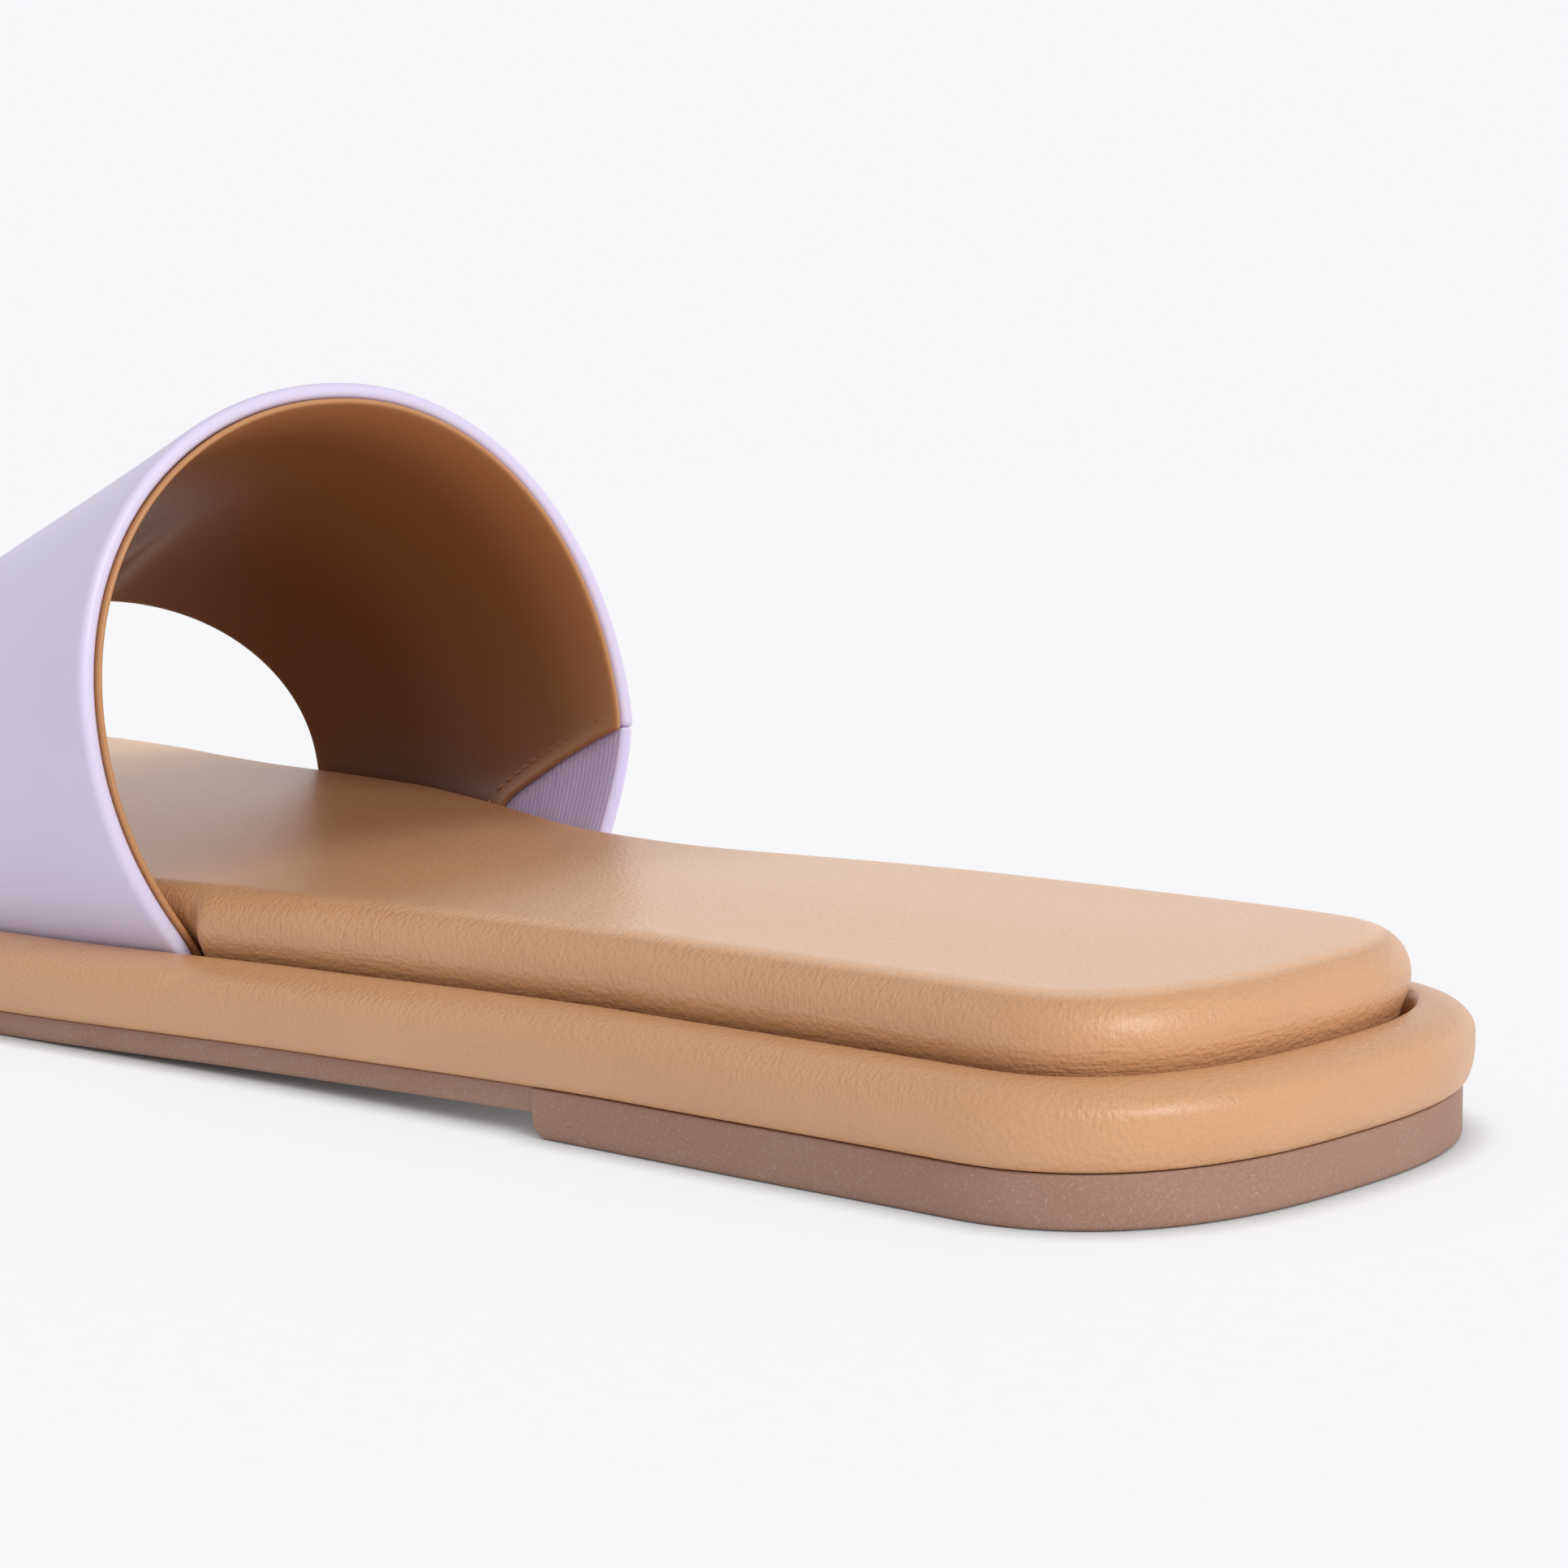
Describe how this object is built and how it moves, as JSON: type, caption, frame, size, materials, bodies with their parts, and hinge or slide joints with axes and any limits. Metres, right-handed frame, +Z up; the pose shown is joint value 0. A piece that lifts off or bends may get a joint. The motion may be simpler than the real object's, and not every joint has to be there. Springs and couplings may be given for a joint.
{
  "type": "flat slide sandal",
  "caption": "Flat slip-on slide sandal for the left foot: wide instep strap with an elastic corner, padded footbed, round-edged wrapped midsole and thin rubber sole with a low heel.",
  "frame": {"origin": "on the floor under the middle of the sandal's footprint", "axes": "+X from heel to toe, +Y to the wearer's left (little-toe side), +Z up"},
  "size_m": [0.2542, 0.0912, 0.0694],
  "materials": {
    "outsole_rubber": "matte brown moulded rubber",
    "midsole_wrap": "tan soft-grain wrap, satin",
    "footbed_wrap": "tan soft-grain padded cover, satin",
    "strap_skin": "smooth lilac skin, satin, tan lining",
    "gore_elastic": "ribbed lilac elastic, matte"
  },
  "bodies": {
    "root": {"outsole": "outsole_rubber", "midsole": "midsole_wrap", "footbed": "footbed_wrap", "strap": "strap_skin", "gore": "gore_elastic"}
  },
  "joints": []
}
